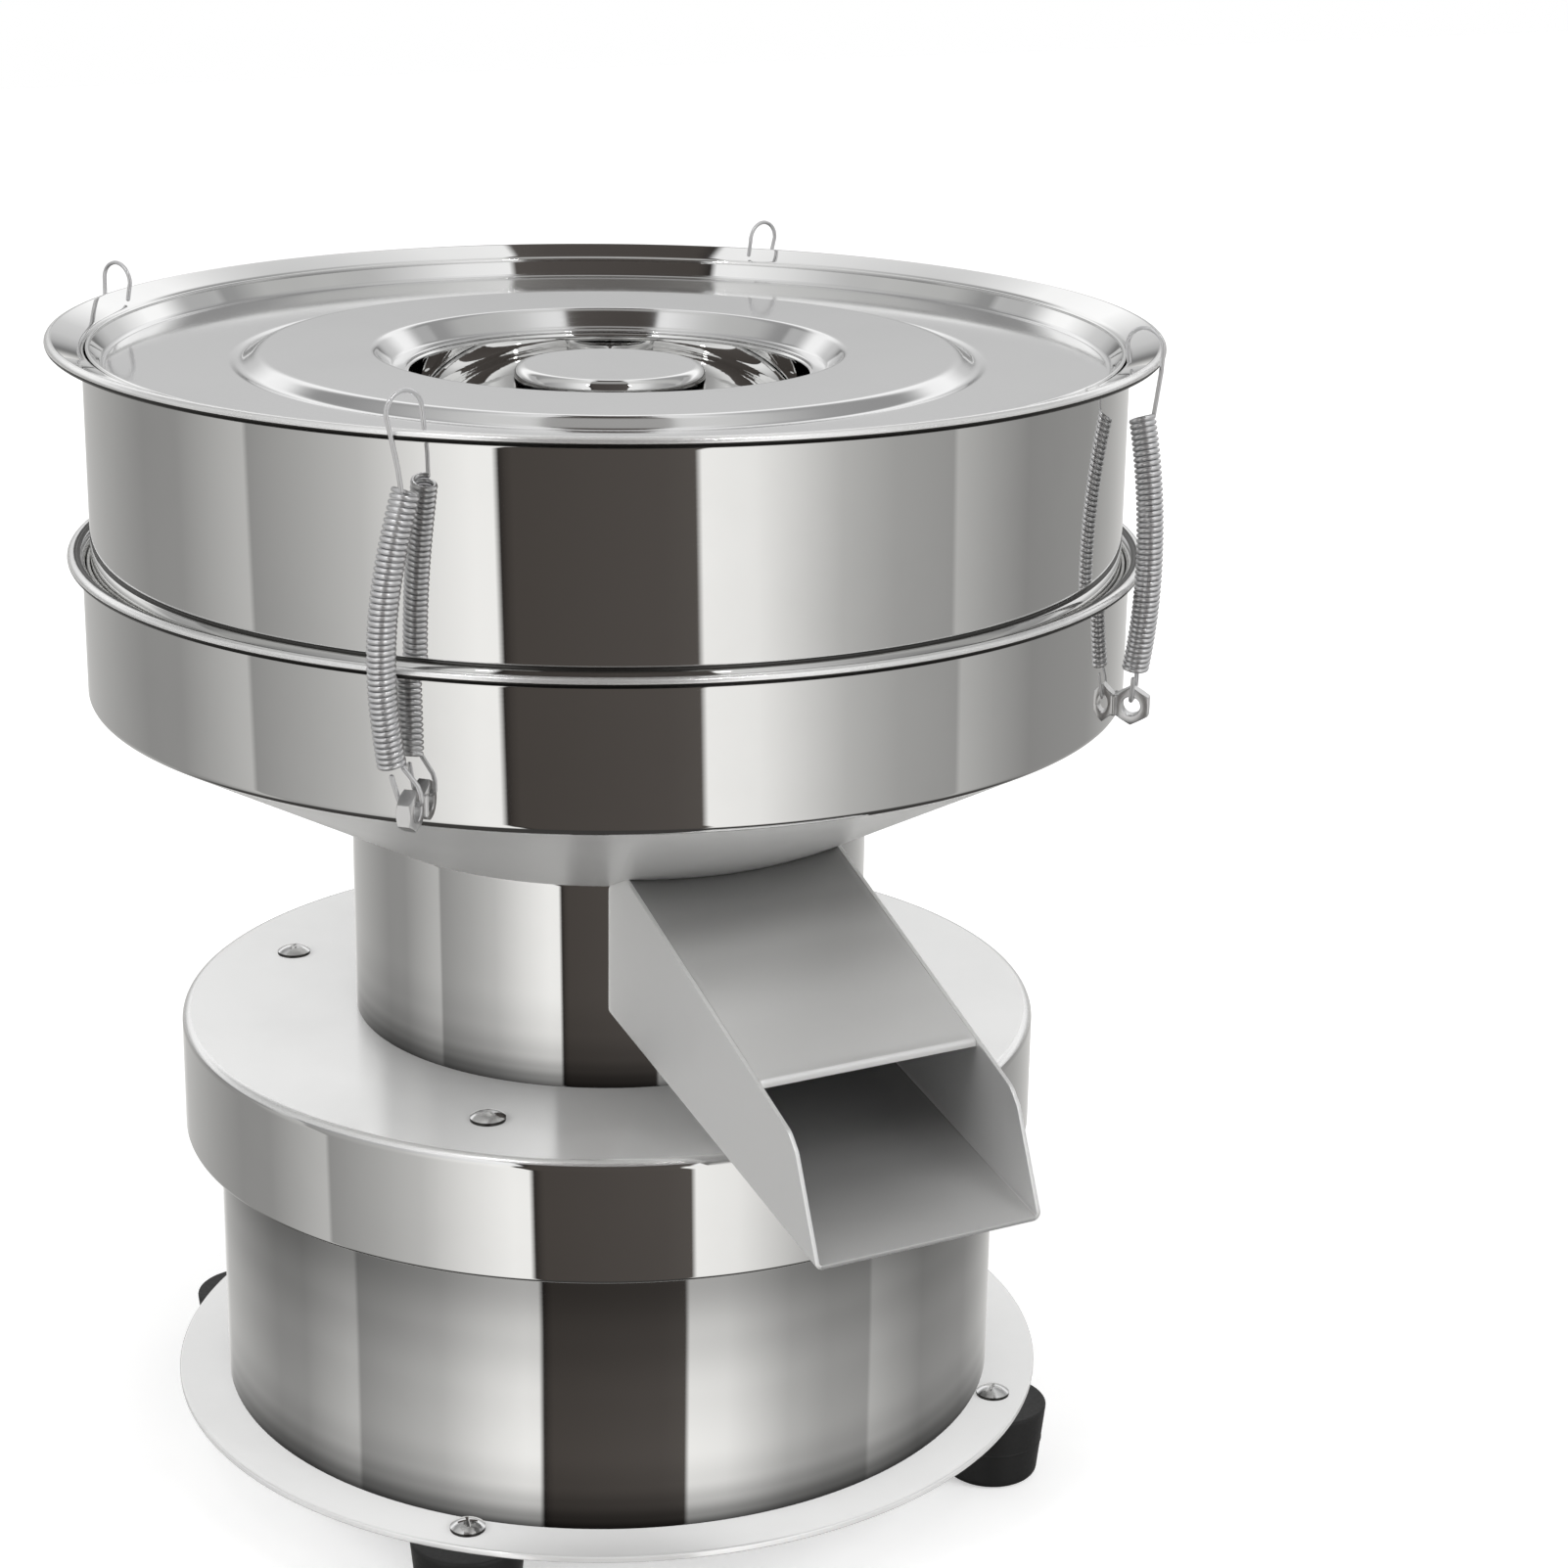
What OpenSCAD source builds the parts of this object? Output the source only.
// Vibrating sieve for powders: a spring-carried bowl, screen and hopper over a drum-shaped base.
// Millimetres. The origin is on the floor, at the middle of the four feet. The chute points along -Y.

/* [Feet] */
// Height of the rubber feet
foot_h = 24; // [18:1:40]
// Radius of a foot at its top
foot_top_r = 17; // [15:0.5:19]
// Radius of a foot at its bottom
foot_bottom_r = 14.5; // [12:0.5:15]
// Distance of each foot and its screw from the axis
foot_circle_r = 127.5; // [127:0.5:130]

/* [Base] */
// Radius of the base plate
base_plate_r = 137.7; // [136:0.1:150]
// Thickness of the base plate
base_plate_t = 2; // [1.5:0.5:4]
// Outer radius of the base drum
base_drum_r = 122; // [121.5:0.5:122.5]
// Height of the base drum
base_drum_h = 113; // [108:1:130]
// Wall of the base drum
base_wall = 1.2; // [0.8:0.1:1.2]

/* [Table] */
// Outer radius of the skirted table that rides on the springs
table_r = 132.5; // [129:0.5:140]
// Sheet thickness of the table
table_t = 1.5; // [1:0.5:3]
// Depth of the table's skirt
skirt_h = 36.2; // [25:0.1:45]
// Air between the base drum's top edge and the table
table_lift = 6; // [5:0.5:10]
// Distance of the support springs and table screws from the axis
spring_circle_r = 107.5; // [106:0.5:108]

/* [Support springs] */
// Outer radius of a support spring
spring_r = 12; // [10:0.5:12.5]
// Wire radius of a support spring
spring_wire_r = 1.4; // [1:0.1:1.6]
// Number of turns of a support spring
spring_turns = 5.5; // [4:0.5:7]
// Height of the posts under the support springs
post_h = 58; // [45:1:65]
// Thickness of the flange on the upper spring seats
seat_t = 4; // [3:0.5:6]

/* [Neck] */
// Outer radius of the neck
neck_r = 79; // [76:0.5:82]
// Wall of the neck
neck_wall = 1.2; // [1:0.1:2]
// Height of the neck
neck_h = 62.5; // [58:0.5:75]

/* [Bowl] */
// Outer radius of the bowl's drum
bowl_r = 156; // [150:0.5:160]
// Sheet thickness of the bowl
bowl_wall = 1; // [0.8:0.1:1.5]
// Height of the bowl's cone
cone_h = 41.4; // [36:0.1:50]
// Height of the bowl's drum with its lip
bowl_drum_h = 43.2; // [40:0.1:55]
// Bend radius of the bowl's lip
lip_bend_r = 2.8; // [2.2:0.1:3.2]
// Depth of the screen ledge below the lip
ledge_depth = 16.9; // [16:0.1:20]
// Width of the screen ledge
ledge_w = 8; // [6:0.5:10]

/* [Screen] */
// Depth of the screen's pan below its flange
screen_depth = 10; // [8:0.5:14]
// Sheet thickness of the screen's hoop
hoop_t = 1.2; // [1:0.1:2]
// Width of the hem that carries the mesh
hem_w = 3.5; // [2.5:0.5:6]
// Thickness of the mesh
mesh_t = 0.4; // [0.3:0.1:0.8]

/* [Hopper] */
// Height of the hopper
hopper_h = 74.4; // [70:0.1:100]
// Sheet thickness of the hopper
hopper_wall = 1; // [0.8:0.1:1.2]
// How deep the hopper sits in the bowl
hopper_nest = 11; // [10.5:0.5:12]
// Gap between the hopper and the bowl's wall, filled by the seal's lip
nest_gap = 1.5; // [1.4:0.1:2]
// Bend radius of the hopper's flared mouth
flare_r = 8.5; // [7.5:0.1:9]
// Radius of the rolled beads on the rims
bead_r = 1.5; // [1.2:0.1:1.8]

/* [Lid] */
// Sheet thickness of the lid
lid_t = 0.8; // [0.6:0.1:1]
// Depth of the lid's flat below the rim
lid_drop = 9; // [8:0.5:12]
// Outer radius of the raised ring on the lid
lid_ring_r = 109.7; // [95:0.1:115]
// Width of the raised ring's outer bevel
lid_bevel_w = 7; // [5:0.5:10]
// Height of the raised ring
lid_ring_h = 2.5; // [2:0.5:5]
// Inner radius of the raised ring
lid_inner_r = 69.5; // [68:0.5:76]
// Radius of the finger dish
dish_r = 60; // [54:0.5:62]
// Depth of the finger dish
dish_depth = 24; // [20:0.5:28]
// Radius of the knob in the dish
knob_r = 28.5; // [24:0.5:31]
// Thickness of the knob's head
knob_head_h = 9; // [7:0.5:12]

/* [Chute] */
// Half width of the chute over its side plates
chute_half_w = 35.2; // [28:0.1:40]
// Reach of the chute's tip beyond the bowl's drum
chute_out = 37.8; // [30:0.1:50]
// Sheet thickness of the chute
chute_t = 1.2; // [1:0.1:2]
// Slope of the chute's floor
chute_floor_slope = 13.2; // [11:0.1:14]
// Slope of the chute's cover
chute_cover_slope = 22.8; // [19:0.1:24]
// Lean of the side plates' front edge
chute_front_lean = 22.9; // [15:0.1:30]
// Height of the chute's floor above the table at the neck
chute_floor_rise = 22.1; // [21:0.1:28]
// Height of the cover above the cone's foot
chute_cover_rise = 3.6; // [3:0.1:6]
// Distance of the cover's front edge behind the chute's tip
cover_setback = 33.5; // [25:0.1:40]
// Height of the side plates' front corner above the floor's tip, measured along the lean
chute_lip_h = 30.3; // [24:0.1:31]

/* [Latches] */
// Wire radius of the latches
latch_wire_r = 0.75; // [0.6:0.05:0.8]
// Mean radius of the latch coils
latch_coil_r = 3.2; // [3.1:0.1:3.4]
// Number of turns of a latch coil
latch_turns = 36; // [24:1:36]
// Depth of the coil's top below the rim
coil_top_drop = 16.5; // [15:0.5:20]
// Air between the hopper's drum and the coil's top, to the coil's middle radius
coil_top_air = 3.3; // [3.1:0.1:3.6]
// How far the coil's bottom stands outside the nut's middle
coil_bottom_out = 1.15; // [1:0.05:1.6]
// Sideways bow of the coil
coil_side_bow = 4.5; // [3:0.5:6]
// Outward bow of the coil over the bowl's bead
coil_out_bow = 3.8; // [3.8:0.1:4.5]
// Width over flats of the welded nut lug
nut_flats = 10; // [9:0.5:11]
// Thickness of the nut lug
nut_t = 4.2; // [3.6:0.1:4.3]
// Hole radius of the nut lug
nut_hole_r = 2.75; // [2.5:0.05:3]
// Height of the nut lug's hole above the foot of the bowl's drum
nut_rise = 5.2; // [4:0.1:8]

/* [Motor] */
// Radius of the motor's housing
motor_r = 56; // [50:0.5:58]
// Wall of the motor's housing
motor_wall = 5; // [4:0.5:6]
// Length of the motor's housing
motor_h = 71; // [66:1:74]
// Radius of the motor's mounting flange
motor_flange_r = 68; // [66:0.5:70]
// Thickness of the motor's end covers
motor_cover_t = 5; // [4:0.5:6]
// Radius of the motor's shaft
shaft_r = 7.5; // [6:0.5:8.5]
// Outer radius of the bearings
bearing_r = 16; // [15:0.5:17.5]
// Width of the bearings
bearing_w = 9; // [8:0.5:11]
// Radius of the eccentric weights
weight_r = 45; // [38:0.5:50]
// Thickness of the eccentric weights
weight_t = 12; // [9:0.5:12]
// Angle that each weight covers
weight_angle = 160; // [120:5:180]
// Angle between the upper and the lower weight
weight_lead = 45; // [0:5:90]

/* [Fasteners and switch] */
// Head radius of the visible screws
screw_head_r = 4.6; // [4:0.1:5.5]
// Shank radius of the visible screws
screw_r = 2.5; // [2:0.1:3]
// Width of the rocker switch's opening
switch_w = 13; // [11:0.5:15]
// Height of the rocker switch's opening
switch_h = 19; // [17:0.5:22]
// Height of the rocker switch above the base plate
switch_z = 32; // [26:1:50]
// Inner radius of the cable gland
gland_bore_r = 4; // [3:0.25:4.5]
// Angle of the switch and the gland from the back
rear_angle = 15; // [12:1:20]

/* [Hidden] */
$fn = 96;

quarters = [45, 135, 225, 315]; // foot, spring, screw and latch positions, clear of the chute
seat_gap = 0.05;                // air in a pressed or welded seat
run_gap = 0.03;                 // radial air between the shaft and its bearings
air = 0.3;                      // air between pieces that move past each other
cut = 1;                        // how far a cutting tool runs past the piece
steel = [0.78, 0.78, 0.79];
polished = [0.86, 0.86, 0.87];
dark_steel = [0.42, 0.42, 0.44];
black_rubber = [0.07, 0.07, 0.07];

plate_top = foot_h + base_plate_t;
drum_top = plate_top + base_drum_h;
table_under = drum_top + table_lift;
table_top = table_under + table_t;
neck_top = table_top + neck_h;
cone_top = neck_top + cone_h;
bowl_top = cone_top + bowl_drum_h;
hopper_bottom = bowl_top - hopper_nest;
rim_top = hopper_bottom + hopper_h;

base_inner_r = base_drum_r - base_wall;
neck_inner_r = neck_r - neck_wall;
bowl_inner_r = bowl_r - bowl_wall;
hopper_r = bowl_inner_r - nest_gap;
hopper_inner_r = hopper_r - hopper_wall;
cone_run = (bowl_r - neck_r) / cone_h;          // radius gained by the cone for each mm of height
cone_wall_z = bowl_wall * sqrt(1 + 1 / (cone_run * cone_run)); // the cone's wall measured upright
ledge_top = bowl_top - ledge_depth;
ledge_t = 1.5;
ledge_inner_r = bowl_inner_r - ledge_w;
hoop_air = 0.7;                                  // between the hoop and the ledge
hoop_r = ledge_inner_r - hoop_air;
screen_bottom = ledge_top - screen_depth;
seal_air = 0.55;                                 // beside the seal's lip, both sides together
seal_lip_t = nest_gap - seal_air;

post_top = plate_top + post_h;
seat_under = table_under - seat_t;
spigot_h = 6;
spigot_r = spring_r - 2 * spring_wire_r - 0.6;
post_r = spring_r + 0.5;

chute_in = chute_half_w - chute_t;
chute_reach = bowl_r + chute_out;
cover_reach = chute_reach - cover_setback;
chute_start = neck_r / 2;                        // where the cut for the chute starts inside the neck
cover_meet_r = neck_r + chute_cover_rise * cone_run;
lug_r = bowl_r + nut_flats / 2 + seat_gap;
lug_z = cone_top + nut_rise;
eye_z = lug_z + nut_hole_r - latch_wire_r - air;
eye_leg = 10.2;                                  // height of the eye's leg above the nut's hole
coil_bottom = eye_z + eye_leg;
coil_bottom_r = lug_r + coil_bottom_out;
coil_top_r = hopper_r + latch_coil_r + coil_top_air;
coil_top = rim_top - coil_top_drop;
eye_lean = atan2(coil_bottom_r - lug_r, eye_leg);
hook_arch_r = 5.6;
hook_air = 0.85;                                 // between the rim's bead and the hook's leg
hook_out_r = rim_bead_r() + bead_r + latch_wire_r + hook_air;
hook_rise = 3.7;                                 // of the hook's arch centre above the rim
hook_arch_z = rim_top + hook_rise;
hook_tip_z = rim_top - 1.2;
wire_gap = 0.1;                                  // where the coil meets the wire's two ends

motor_under = table_under - motor_cover_t;
motor_bottom = motor_under - motor_h;
bearing_lip = 2;
upper_weight_z = table_top + 5;
lower_weight_z = motor_bottom - motor_cover_t - 3 - weight_t;
shaft_bottom = lower_weight_z - 3;
shaft_top = upper_weight_z + weight_t + 4;
core_r = 30;
core_h = 42;
core_z = motor_bottom + (motor_h - core_h) / 2;
hub_r = shaft_r + 7;
motor_bolt_r = motor_flange_r - 6;
motor_bolt_flats = screw_r * 3.6;
motor_nut_h = screw_r * 1.8;
foot_screw_length = foot_h / 2;

lid_z = rim_top - lid_drop;                      // height of the lid's flat face
lid_edge_bead = 1.1;
lid_edge_drop = 4.5;
lid_edge_r = hopper_inner_r - air;
lid_edge_z = rim_top - lid_edge_drop;
seat_r = lid_inner_r - 5;                        // where the raised ring's inner bevel ends
dish_z = lid_z - 3;
capacitor_at = [88, 0];
capacitor_r = 15;
capacitor_h = 48;
gland_thread_r = gland_bore_r + 3;

// Radius of the rolled rim's bead centre
function rim_bead_r() = hopper_r + flare_r + 0.5;
// Height of the chute's floor at a distance d from the axis
function floor_z(d) = table_top + chute_floor_rise - (d - neck_r) * tan(chute_floor_slope);
// Height of the chute's cover at a distance d from the axis
function cover_z(d) = neck_top + chute_cover_rise - (d - cover_meet_r) * tan(chute_cover_slope);
// Front corner of a side plate, above the floor's tip along the leaning edge
function side_corner() = [chute_reach - chute_lip_h * sin(chute_front_lean),
                          floor_z(chute_reach) + chute_lip_h * cos(chute_front_lean)];

// A ring of rectangular section
module ring(r_out, r_in, h) {
    difference() {
        cylinder(r = r_out, h = h);
        translate([0, 0, -cut]) cylinder(r = r_in, h = h + 2 * cut);
    }
}

// A quarter of a bent sheet, drawn flat: r_in to r_in + t about the point at, from the angle start
module bend(at, r_in, t, start) {
    translate(at) intersection() {
        difference() {
            circle(r = r_in + t);
            circle(r = r_in);
        }
        rotate(start) square(r_in + t + cut);
    }
}

// A copy of its children at each of the four quarter positions
module at_quarters(r = 0) {
    for (a = quarters) rotate(a) translate([r, 0, 0]) children();
}

// A pan-head screw that points down from z = 0, with a cross recess
module pan_screw(head_r, shank_r, length) {
    head_h = head_r * 0.55;
    difference() {
        union() {
            intersection() {
                cylinder(r = head_r, h = head_h);
                translate([0, 0, head_h - head_r * 1.6]) sphere(r = head_r * 1.6);
            }
            translate([0, 0, -length]) cylinder(r = shank_r, h = length + head_h / 2);
        }
        for (a = [45, 135]) rotate(a)
            translate([-head_r * 0.55, -head_r * 0.09, head_h - head_r * 0.3])
                cube([head_r * 1.1, head_r * 0.18, head_r]);
    }
}

// A hexagonal screw head or nut
module hexagon(flats, h) {
    cylinder(r = flats / sqrt(3), h = h, $fn = 6);
}

module base_plate() {
    color(steel) difference() {
        translate([0, 0, foot_h]) cylinder(r = base_plate_r, h = base_plate_t);
        at_quarters(foot_circle_r) translate([0, 0, foot_h - cut])
            cylinder(r = screw_r + 0.2, h = base_plate_t + 2 * cut);
    }
}

module base_drum() {
    color(polished) difference() {
        translate([0, 0, plate_top]) ring(base_drum_r, base_inner_r, base_drum_h);
        at_switch() cube([base_wall * 8, switch_w + 0.4, switch_h + 0.4], center = true);
        at_gland() rotate([0, 90, 0])
            cylinder(r = gland_thread_r + 0.1, h = base_wall * 8, center = true);
    }
}

module foot(k) {
    round_r = 2;
    color(black_rubber) rotate(quarters[k]) translate([foot_circle_r, 0, 0]) difference() {
        rotate_extrude() union() {
            polygon([[0, 0], [foot_bottom_r - round_r, 0], [foot_bottom_r, round_r],
                     [foot_top_r, foot_h], [0, foot_h]]);
            translate([foot_bottom_r - round_r, round_r]) circle(r = round_r);
        }
        translate([0, 0, foot_h - foot_screw_length - 2])
            cylinder(r = screw_r + seat_gap, h = foot_screw_length + 2 + cut);
    }
}

module foot_screws() {
    color(dark_steel) at_quarters(foot_circle_r) translate([0, 0, plate_top])
        pan_screw(screw_head_r, screw_r, base_plate_t + foot_screw_length);
}

// Four posts that stand on the base plate and hold the support springs on their spigots
module spring_posts() {
    color(dark_steel) at_quarters(spring_circle_r) translate([0, 0, plate_top]) {
        ring(spring_r - 3, spring_r - 6, post_h - 3);
        translate([0, 0, post_h - 3]) cylinder(r = post_r, h = 3);
        translate([0, 0, post_h]) cylinder(r1 = spigot_r, r2 = spigot_r - 1, h = spigot_h);
    }
}

// Flanged seats under the table, each held by a table screw
module spring_seats() {
    color(dark_steel) at_quarters(spring_circle_r) difference() {
        union() {
            translate([0, 0, seat_under]) cylinder(r = post_r, h = seat_t);
            translate([0, 0, seat_under - spigot_h])
                cylinder(r1 = spigot_r - 1, r2 = spigot_r, h = spigot_h);
        }
        translate([0, 0, seat_under - spigot_h - cut])
            cylinder(r = screw_r + seat_gap, h = seat_t + spigot_h + 2 * cut);
    }
}

module table_screws() {
    color(dark_steel) at_quarters(spring_circle_r) translate([0, 0, table_top])
        pan_screw(screw_head_r, screw_r, table_t + seat_t + spigot_h - 1);
}

// A wire of round section carried along a list of points, ring by ring, with closed ends
module swept_wire(points, radii, sides) {
    n = len(points);
    rings = [for (i = [0:n - 1])
        let (a = points[max(i - 1, 0)], b = points[min(i + 1, n - 1)],
             t = (b - a) / norm(b - a),
             u = cross(t, abs(t[2]) > 0.8 ? [1, 0, 0] : [0, 0, 1]), un = u / norm(u),
             v = cross(t, un))
        [for (j = [0:sides - 1]) let (w = 360 * j / sides)
            points[i] + radii[i] * (un * cos(w) + v * sin(w))]];
    faces = concat(
        [[for (j = [0:sides - 1]) j]],
        [for (i = [0:n - 2], j = [0:sides - 1], half = [0, 1])
            let (k = (j + 1) % sides, p = i * sides, q = p + sides)
            half == 0 ? [p + j, q + j, q + k] : [p + j, q + k, p + k]],
        [[for (j = [sides - 1:-1:0]) (n - 1) * sides + j]]);
    polyhedron([for (r = rings, p = r) p], faces, convexity = 10);
}

// One compression spring: closed end turns, open turns between
module support_spring(k) {
    steps = 14;                                  // points in a turn
    closing = 0.12;                              // how far the end turns close up
    n = round(spring_turns * steps);
    low = post_top + spring_wire_r;
    span = seat_under - post_top - 2 * spring_wire_r;
    mean_r = spring_r - spring_wire_r;
    color(dark_steel) rotate(quarters[k]) translate([spring_circle_r, 0, 0])
        swept_wire([for (i = [0:n]) let (s = i / n, w = 360 * spring_turns * s,
                        e = s - closing * sin(360 * s) / (2 * PI))
                    [mean_r * cos(w), mean_r * sin(w), low + span * e]],
                   [for (i = [0:n]) spring_wire_r], 6);
}

// The skirted table: a flat top bent down all round into a skirt
module table() {
    bend_r = 1;
    color(polished) difference() {
        rotate_extrude() union() {
            translate([0, table_under]) square([table_r - table_t - bend_r, table_t]);
            bend([table_r - table_t - bend_r, table_under - bend_r], bend_r, table_t, 0);
            translate([table_r - table_t, table_top - skirt_h])
                square([table_t, skirt_h - table_t - bend_r]);
        }
        translate([0, 0, table_under - cut]) cylinder(r = shaft_r + 5, h = table_t + 2 * cut);
        at_quarters(spring_circle_r) translate([0, 0, table_under - cut])
            cylinder(r = screw_r + 0.2, h = table_t + 2 * cut);
        at_quarters(motor_bolt_r) translate([0, 0, table_under - cut])
            cylinder(r = screw_r + 0.7, h = table_t + 2 * cut);
    }
}

// An upright plate or prism from an outline of points [distance from the axis, height]
module along_chute(points, half_w) {
    rotate([90, 0, -90]) linear_extrude(height = 2 * half_w, center = true) polygon(points);
}

module neck() {
    color(polished) difference() {
        translate([0, 0, table_top]) ring(neck_r, neck_inner_r, neck_h);
        along_chute([[chute_start, floor_z(chute_start)], [neck_r + cut, floor_z(neck_r + cut)],
                     [neck_r + cut, neck_top + cut], [chute_start, neck_top + cut]], chute_in);
    }
}

// The sloping floor inside the neck, in line with the chute's floor
module powder_floor() {
    r = neck_inner_r - seat_gap;
    color(steel) intersection() {
        translate([0, 0, table_top]) cylinder(r = r, h = neck_h);
        along_chute([[-neck_r, floor_z(-neck_r)], [neck_r, floor_z(neck_r)],
                     [neck_r, floor_z(neck_r) - chute_t], [-neck_r, floor_z(-neck_r) - chute_t]], neck_r);
    }
}

// The bowl: a cone that opens into a drum, with a small rolled lip
module bowl() {
    lip_r = bowl_r + lip_bend_r;
    color(polished) difference() {
        rotate_extrude() union() {
            polygon([[neck_r - bowl_wall * 1.6, neck_top], [neck_r, neck_top], [bowl_r, cone_top],
                     [bowl_r, bowl_top - lip_bend_r - bowl_wall],
                     [bowl_inner_r, bowl_top - lip_bend_r - bowl_wall],
                     [bowl_inner_r, cone_top + cone_wall_z * 0.5]]);
            bend([lip_r, bowl_top - lip_bend_r - bowl_wall], lip_bend_r, bowl_wall, 90);
            translate([lip_r, bowl_top - bead_r]) circle(r = bead_r);
        }
        along_chute([[chute_start, neck_top - cut], [cover_meet_r + 2, neck_top - cut],
                     [cover_meet_r + 2, cover_z(cover_meet_r) - chute_t],
                     [chute_start, cover_z(cover_meet_r) - chute_t]], chute_in);
    }
}

// The angle ring inside the bowl on which the screen hangs
module screen_ledge() {
    leg = 9;
    color(steel) difference() {
        translate([0, 0, ledge_top - leg]) ring(bowl_inner_r - seat_gap, ledge_inner_r, leg);
        translate([0, 0, ledge_top - leg - cut])
            cylinder(r = bowl_inner_r - seat_gap - ledge_t, h = leg - ledge_t + cut);
    }
}

// Floor and side plates of the chute, one bent sheet
module chute_trough() {
    corner = side_corner();
    inner_d = neck_r * 0.7;
    outline = [[inner_d, floor_z(inner_d) - chute_t], [chute_reach, floor_z(chute_reach) - chute_t],
               [chute_reach, floor_z(chute_reach)], corner, [corner[0] - 4, cover_z(corner[0] - 4)],
               [inner_d, cover_z(inner_d)]];
    color(steel) difference() {
        along_chute(outline, chute_half_w);
        along_chute([[inner_d - cut, floor_z(inner_d - cut)],
                     [chute_reach + cut, floor_z(chute_reach + cut)],
                     [chute_reach + cut, rim_top], [inner_d - cut, rim_top]], chute_in);
        bowl_and_neck_outside();
    }
}

// The sheet that roofs the chute between its side plates, with a folded front edge
module chute_cover() {
    front_z = cover_z(cover_reach);
    fold_drop = 0.5;
    half_w = chute_in - seat_gap;
    inner_d = neck_r * 0.75;
    color(steel) difference() {
        union() {
            along_chute([[inner_d, cover_z(inner_d)], [cover_reach, front_z],
                         [cover_reach, front_z - chute_t], [inner_d, cover_z(inner_d) - chute_t]], half_w);
            translate([-half_w, -cover_reach + chute_t, front_z - chute_t - fold_drop]) rotate([0, 90, 0])
                cylinder(r = chute_t, h = 2 * half_w, $fn = 24);
        }
        bowl_and_neck_outside();
    }
}

// The solid outer shape of the neck and the cone, which trims the chute
module bowl_and_neck_outside() {
    rotate_extrude() polygon([[0, table_top], [neck_r + seat_gap, table_top],
        [neck_r + seat_gap, neck_top], [bowl_r + seat_gap, cone_top], [bowl_r, bowl_top], [0, bowl_top]]);
}

// The screen's hoop: a flange that hangs on the ledge, an upright wall and a hem for the mesh
module screen_frame() {
    flange_r = bowl_inner_r - 0.5;
    color(steel) rotate_extrude() union() {
        translate([hoop_r - hoop_t, ledge_top]) square([flange_r - hoop_r + hoop_t, hoop_t]);
        translate([hoop_r - hoop_t, screen_bottom]) square([hoop_t, screen_depth + hoop_t]);
        translate([hoop_r - hem_w, screen_bottom]) square([hem_w, hoop_t]);
    }
}

module screen_mesh() {
    color([0.7, 0.7, 0.72]) translate([0, 0, screen_bottom + hoop_t])
        cylinder(r = hoop_r - hoop_t - 0.1, h = mesh_t);
}

// The silicone seal: a flat ring under the hopper and a lip that fills the gap to the bowl
module seal_ring() {
    seal_out = bowl_inner_r - 0.3;
    flange_top = ledge_top + hoop_t;
    color([0.86, 0.86, 0.84]) rotate_extrude() union() {
        translate([hopper_inner_r - 2.5, flange_top])
            square([seal_out - hopper_inner_r + 2.5, hopper_bottom - flange_top]);
        translate([seal_out - seal_lip_t, flange_top])
            square([seal_lip_t, bowl_top - lip_bend_r - flange_top]);
    }
}

// The hopper: a straight drum with a flared mouth and a rolled rim
module hopper() {
    flare_z = rim_top - flare_r - hopper_wall;
    color(polished) rotate_extrude() union() {
        translate([hopper_inner_r, hopper_bottom]) square([hopper_wall, flare_z - hopper_bottom]);
        bend([hopper_r + flare_r, flare_z], flare_r, hopper_wall, 90);
        translate([rim_bead_r(), rim_top - bead_r]) circle(r = bead_r);
    }
}

// Nuts welded edge-on to the bowl; the latch wire passes through each
module latch_nuts() {
    color(steel) at_quarters(lug_r) translate([0, nut_t / 2, lug_z]) rotate([90, 0, 0]) difference() {
        rotate(30) hexagon(nut_flats, nut_t);
        translate([0, 0, -cut]) cylinder(r = nut_hole_r, h = nut_t + 2 * cut);
    }
}

// Centre line of a latch coil: s is 0 at the bottom and 1 at the top
function coil_point(s) = [
    coil_bottom_r + (coil_top_r - coil_bottom_r) * s + coil_out_bow * 4 * s * (1 - s),
    -coil_side_bow * pow(sin(180 * s), 2),
    coil_bottom + (coil_top - coil_bottom) * s];

// The close-wound coil of a latch, drawn as a tube with one rib for each turn
module latch_coil(k) {
    n = 2 * latch_turns;
    color([0.7, 0.7, 0.7]) rotate(quarters[k])
        swept_wire([for (i = [0:n]) coil_point(i / n)],
                   [for (i = [0:n]) latch_coil_r + (i % 2 == 0 ? -latch_wire_r * 0.1 : latch_wire_r)], 10);
}

// Points on an arc drawn flat, from angle a to angle b in n steps
function arc_points(at, r, a, b, n) = [for (i = [0:n]) let (w = a + (b - a) * i / n)
    [at[0] + r * cos(w), at[1] + r * sin(w)]];

// A latch wire through a list of points
module latch_wire(points) {
    color([0.7, 0.7, 0.7]) swept_wire(points, [for (p = points) latch_wire_r], 8);
}

// The lower end of a latch: down beside the nut, through its hole and up again into a short tail
module latch_eye(k) {
    turn_r = 1.5;
    half = latch_coil_r - turn_r;
    turn_end = -166;
    tail = 6.5;
    leg = eye_leg / cos(eye_lean) - wire_gap;
    curl = arc_points([-half, turn_r], turn_r, -90, turn_end, 5);
    last = curl[len(curl) - 1];
    flat = concat([[latch_coil_r, leg]],
                  arc_points([half, turn_r], turn_r, 0, -90, 6), curl,
                  [last + tail * [sin(turn_end), -cos(turn_end)]]);
    rotate(quarters[k]) latch_wire([for (p = flat)
        [lug_r + p[1] * sin(eye_lean), p[0], eye_z + p[1] * cos(eye_lean)]]);
}

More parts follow.
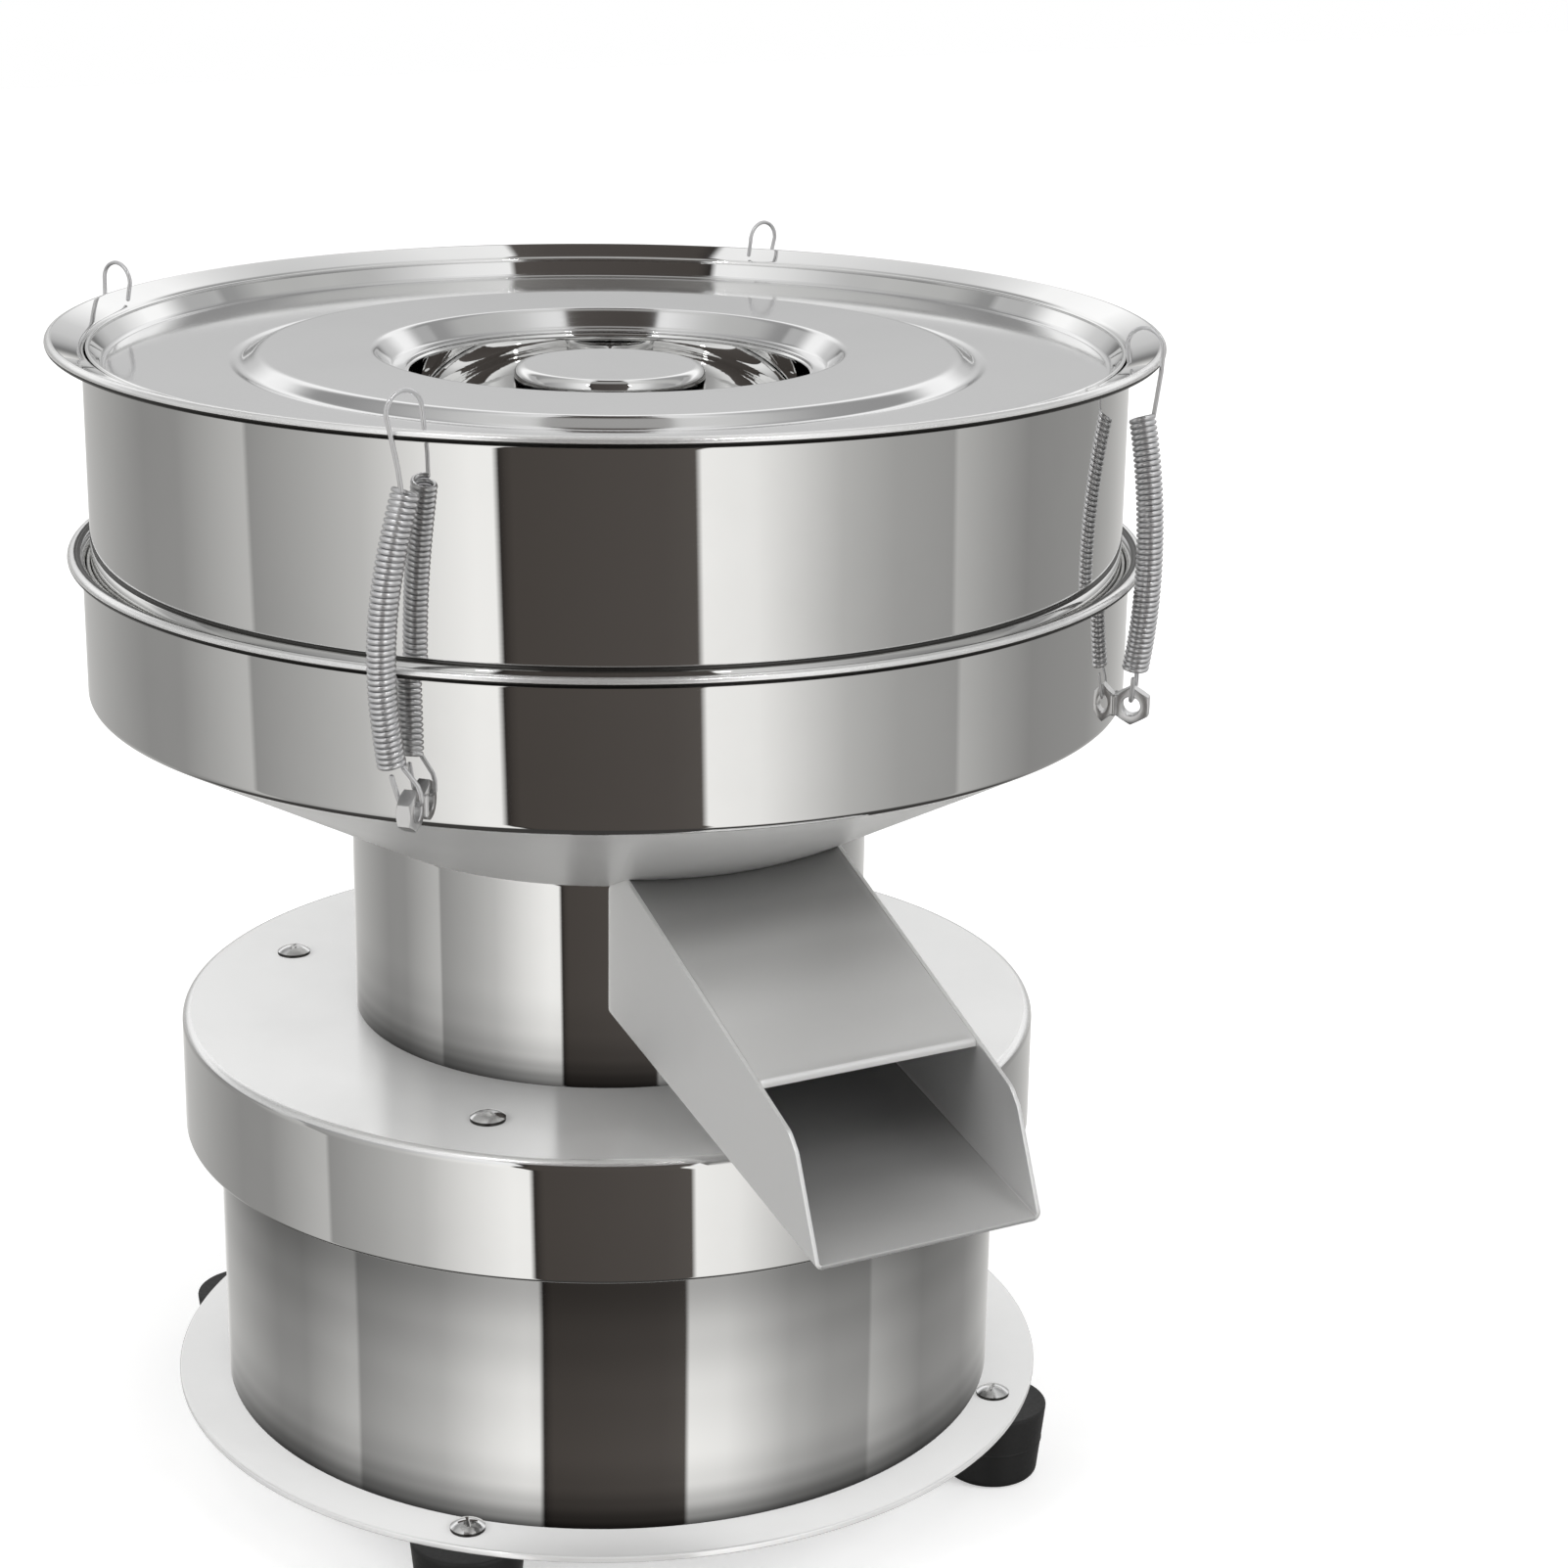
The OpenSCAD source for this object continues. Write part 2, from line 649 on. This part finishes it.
// The upper end of a latch: a leg past the rim, an arch over it and a tip inside the flare
module latch_hook(k) {
    arch_x = hook_out_r - hook_arch_r;
    tip_lean = 6;
    drop = hook_arch_z - hook_tip_z;
    coil_tilt = (4 * coil_out_bow + coil_bottom_r - coil_top_r) / (coil_top - coil_bottom);
    leg_z = coil_top + (latch_coil_r + latch_wire_r) * coil_tilt + wire_gap;
    flat = concat([[coil_top_r + latch_coil_r, leg_z]],
                  arc_points([arch_x, hook_arch_z], hook_arch_r, 0, 180, 14),
                  [[arch_x - hook_arch_r + drop * tan(tip_lean), hook_tip_z]]);
    rotate(quarters[k]) latch_wire([for (p = flat) [p[0], 0, p[1]]]);
}

// Upper cover of the motor: the mounting flange with the upper bearing's seat
module motor_top_cover() {
    color(dark_steel) translate([0, 0, motor_under]) difference() {
        union() {
            cylinder(r = motor_flange_r, h = motor_cover_t);
            translate([0, 0, -bearing_w]) cylinder(r = bearing_r + 5, h = bearing_w + cut);
        }
        translate([0, 0, -bearing_w - cut])
            cylinder(r = bearing_r + seat_gap, h = bearing_w + cut + motor_cover_t - bearing_lip);
        translate([0, 0, -cut]) cylinder(r = shaft_r + 2, h = motor_cover_t + 2 * cut);
        at_quarters(motor_bolt_r) translate([0, 0, -cut])
            cylinder(r = screw_r + 0.5 + seat_gap, h = motor_cover_t + 2 * cut);
    }
}

module motor_end_cover() {
    color(dark_steel) translate([0, 0, motor_bottom - motor_cover_t]) difference() {
        union() {
            cylinder(r = motor_r, h = motor_cover_t);
            translate([0, 0, motor_cover_t - cut]) cylinder(r = bearing_r + 5, h = bearing_w + cut);
        }
        translate([0, 0, bearing_lip])
            cylinder(r = bearing_r + seat_gap, h = bearing_w + motor_cover_t);
        translate([0, 0, -cut]) cylinder(r = shaft_r + 2, h = motor_cover_t + 2 * cut);
    }
}

// The motor's finned housing
module motor_housing() {
    fins = 24;
    fin_h = 4;
    color(dark_steel) translate([0, 0, motor_bottom]) {
        ring(motor_r, motor_r - motor_wall, motor_h);
        for (i = [0:fins - 1]) rotate(360 * i / fins)
            translate([motor_r - 1, -1, 6]) cube([fin_h + 1, 2, motor_h - 12]);
    }
}

module motor_bolts() {
    color(dark_steel) at_quarters(motor_bolt_r) {
        translate([0, 0, table_top]) hexagon(motor_bolt_flats, motor_nut_h);
        translate([0, 0, motor_under - 1]) cylinder(r = screw_r + 0.5, h = motor_cover_t + table_t + 2);
        translate([0, 0, motor_under - motor_nut_h]) hexagon(motor_bolt_flats, motor_nut_h);
    }
}

module motor_stator() {
    color([0.45, 0.3, 0.2]) translate([0, 0, core_z])
        ring(motor_r - motor_wall - seat_gap, core_r + 0.5, core_h);
}

// A shielded ball bearing, its foot at z
module bearing(z) {
    shield = 0.6;
    color(steel) translate([0, 0, z]) difference() {
        ring(bearing_r, shaft_r + run_gap, bearing_w);
        for (h = [-cut, bearing_w - shield]) translate([0, 0, h])
            ring(bearing_r - 2, shaft_r + 2.5, shield + cut);
    }
}

module upper_bearing() { bearing(motor_under + motor_cover_t - bearing_lip - bearing_w); }
module lower_bearing() { bearing(motor_bottom - motor_cover_t + bearing_lip); }

module motor_shaft() {
    color(steel) translate([0, 0, shaft_bottom]) cylinder(r = shaft_r, h = shaft_top - shaft_bottom);
}

module rotor_core() {
    color([0.5, 0.5, 0.5]) translate([0, 0, core_z]) ring(core_r, shaft_r + seat_gap, core_h);
}

// An eccentric weight: a hub on the shaft and a sector to one side
module weight(z, turn) {
    half = weight_angle / 2;
    far = weight_r * 1.5;
    color(dark_steel) translate([0, 0, z]) rotate(turn) difference() {
        linear_extrude(height = weight_t) union() {
            circle(r = hub_r);
            intersection() {
                circle(r = weight_r);
                polygon([[0, 0], far * [cos(half), -sin(half)], [far, -far], [far, far],
                         far * [cos(half), sin(half)]]);
            }
        }
        translate([0, 0, -cut]) cylinder(r = shaft_r + seat_gap, h = weight_t + 2 * cut);
        translate([0, 0, weight_t / 2]) rotate([0, -90, 0])
            cylinder(r = 2.5 + seat_gap, h = hub_r + cut, $fn = 24);
    }
}

module upper_weight() { weight(upper_weight_z, 0); }
module lower_weight() { weight(lower_weight_z, weight_lead); }

// Set screws that clamp the weights on the shaft
module weight_screws() {
    length = hub_r - shaft_r - 1;
    color(steel) for (w = [[upper_weight_z, 0], [lower_weight_z, weight_lead]])
        translate([0, 0, w[0] + weight_t / 2]) rotate(w[1]) rotate([0, -90, 0])
            translate([0, 0, shaft_r + 0.1]) difference() {
                cylinder(r = 2.5, h = length, $fn = 24);
                translate([0, 0, length - 2]) hexagon(2.5, 2 + cut);
            }
}

// The lid's pressed panel: an upturned edge, a raised ring and a sunk seat for the dish
module lid_panel() {
    up_r = 3;
    flat_r = lid_edge_r - lid_t / 2 - up_r;
    up_at = [flat_r, lid_z + up_r];
    ring_z = lid_z + lid_ring_h;
    slant = lid_t * 0.4;
    neck_angle = acos(lid_t / 2 / lid_edge_bead); // where the edge's wall meets its rolled bead
    top = concat([[dish_r + 1, dish_z], [seat_r, dish_z], [lid_inner_r, ring_z],
                  [lid_ring_r - lid_bevel_w, ring_z], [lid_ring_r, lid_z]],
                 arc_points(up_at, up_r, 270, 360, 6),
                 arc_points([lid_edge_r, lid_edge_z], lid_edge_bead, 180 + neck_angle, -neck_angle, 18));
    under = concat(arc_points(up_at, up_r + lid_t, 360, 270, 6),
                   [[lid_ring_r - slant, lid_z - lid_t], [lid_ring_r - lid_bevel_w - slant, ring_z - lid_t],
                    [lid_inner_r + slant, ring_z - lid_t], [seat_r + slant, dish_z - lid_t],
                    [dish_r + 1, dish_z - lid_t]]);
    color(steel) rotate_extrude() polygon(concat(top, under));
}

// The polished finger dish, pressed from one sheet and welded under the panel
module lid_dish() {
    bend_r = 7;
    floor_top = dish_z - dish_depth;
    side_r = dish_r - lid_t;
    color(polished) difference() {
        rotate_extrude() union() {
            translate([side_r, floor_top + bend_r]) square([lid_t, dish_depth - bend_r]);
            translate([side_r, dish_z - 2 * lid_t]) square([4, lid_t]);
            bend([side_r - bend_r, floor_top + bend_r], bend_r, lid_t, 270);
            translate([0, floor_top - lid_t]) square([side_r - bend_r, lid_t]);
        }
        translate([0, 0, floor_top - lid_t - cut]) cylinder(r = 3, h = lid_t + 2 * cut);
    }
}

// The knob in the dish: a broad flat head on a waisted stem
module lid_knob() {
    floor_top = dish_z - dish_depth;
    top = lid_z - 2.5;
    edge_r = 3;
    color(polished) difference() {
        rotate_extrude() union() {
            polygon([[0, floor_top], [knob_r * 0.62, floor_top], [knob_r * 0.45, floor_top + 5],
                     [knob_r * 0.45, top - knob_head_h - 3], [knob_r - edge_r, top - knob_head_h],
                     [knob_r, top - knob_head_h + edge_r], [knob_r, top - edge_r],
                     [knob_r - edge_r, top], [0, top]]);
            for (z = [top - edge_r, top - knob_head_h + edge_r])
                translate([knob_r - edge_r, z]) circle(r = edge_r);
        }
        translate([0, 0, floor_top - cut]) cylinder(r = 2.5 + seat_gap, h = 12 + cut);
    }
}

module knob_screw() {
    floor_under = dish_z - dish_depth - lid_t;
    color(dark_steel) translate([0, 0, floor_under]) mirror([0, 0, 1]) pan_screw(screw_head_r, 2.5, 10);
}

// Moves its children to the switch's or the gland's place on the back of the drum
module at_switch() {
    rotate(90 + rear_angle) translate([base_drum_r, 0, plate_top + switch_z]) children();
}
module at_gland() {
    rotate(90 - rear_angle) translate([base_drum_r, 0, plate_top + switch_z]) children();
}

// The rocker switch's frame, which clips into the drum
module switch_bezel() {
    rim = 2.5;
    depth = 16;
    wall = 1.2;
    front = 2.2;
    color(black_rubber) difference() {
        at_switch() difference() {
            union() {
                cube([2 * front, switch_w + 2 * rim, switch_h + 2 * rim], center = true);
                translate([-depth, -switch_w / 2, -switch_h / 2]) cube([depth, switch_w, switch_h]);
            }
            translate([-7, -switch_w / 2 + wall, -switch_h / 2 + wall])
                cube([depth, switch_w - 2 * wall, switch_h - 2 * wall]);
        }
        intersection() {
            translate([0, 0, plate_top]) cylinder(r = base_drum_r + seat_gap, h = base_drum_h);
            at_switch() difference() {
                cube([4 * front, switch_w * 2, switch_h * 2], center = true);
                cube([5 * front, switch_w, switch_h], center = true);
            }
        }
    }
}

// The rocker: a shallow V whose upper half stands out at rest
module switch_rocker() {
    w = switch_w - 2 * 1.2 - 2 * air;
    h = switch_h - 2 * 1.2 - 2 * air - 0.4;
    tilt = 10;
    color([0.1, 0.1, 0.1]) at_switch() translate([1, 0, 0]) rotate([0, tilt, 0]) rotate([90, 0, 0])
        linear_extrude(height = w, center = true)
            polygon([[-3, -h / 2 + 1.6], [2.4, -h / 2 + 0.4], [1.2, 0],
                     [2.4, h / 2 - 0.4], [-3, h / 2 - 1.6]]);
}

// The cable gland: a hexagonal body outside, a thread through the wall and a nut inside
module cable_gland() {
    body_t = 5;
    cone_h_out = 8;
    thread_in = 9;
    nut_h = 4;
    lift = 0.4;
    color(black_rubber) at_gland() rotate([0, 90, 0]) difference() {
        union() {
            translate([0, 0, lift]) hexagon(2 * gland_thread_r + 6, body_t);
            translate([0, 0, lift + body_t])
                cylinder(r1 = gland_thread_r + 2, r2 = gland_thread_r, h = cone_h_out);
            translate([0, 0, -thread_in]) cylinder(r = gland_thread_r, h = thread_in + 1);
            translate([0, 0, -base_wall - nut_h - 0.5]) hexagon(2 * gland_thread_r + 5, nut_h);
        }
        translate([0, 0, -thread_in - cut])
            cylinder(r = gland_bore_r, h = thread_in + lift + body_t + cone_h_out + 2 * cut);
    }
}

// The motor's run capacitor, which stands on the base plate
module capacitor() {
    color([0.9, 0.9, 0.9]) translate([capacitor_at[0], capacitor_at[1], plate_top]) {
        cylinder(r = capacitor_r, h = capacitor_h);
        for (y = [-4, 4]) translate([-0.4, y - 3, capacitor_h - cut]) cube([0.8, 6, 8]);
    }
}

// The strap that holds the capacitor to the base plate
module capacitor_clip() {
    color(steel) translate([capacitor_at[0], capacitor_at[1], plate_top]) {
        ring(capacitor_r + seat_gap + 1.2, capacitor_r + seat_gap, 12);
        for (side = [0, 180]) rotate(90 + side) difference() {
            translate([capacitor_r + 0.5, -6, 0]) cube([11, 12, 1.2]);
            translate([capacitor_r + 7, 0, -cut]) cylinder(r = 2.2, h = 1.2 + 2 * cut);
        }
    }
}

base_plate();
base_drum();
foot_screws();
spring_posts();
cable_gland();
switch_bezel();
capacitor();
capacitor_clip();
switch_rocker();
table();
table_screws();
spring_seats();
neck();
powder_floor();
bowl();
screen_ledge();
chute_trough();
chute_cover();
screen_frame();
screen_mesh();
seal_ring();
hopper();
latch_nuts();
motor_housing();
motor_top_cover();
motor_end_cover();
motor_bolts();
motor_stator();
upper_bearing();
lower_bearing();
motor_shaft();
rotor_core();
upper_weight();
lower_weight();
weight_screws();
lid_panel();
lid_dish();
lid_knob();
knob_screw();
for (k = [0:3]) {
    foot(k);
    support_spring(k);
    latch_coil(k);
    latch_eye(k);
    latch_hook(k);
}
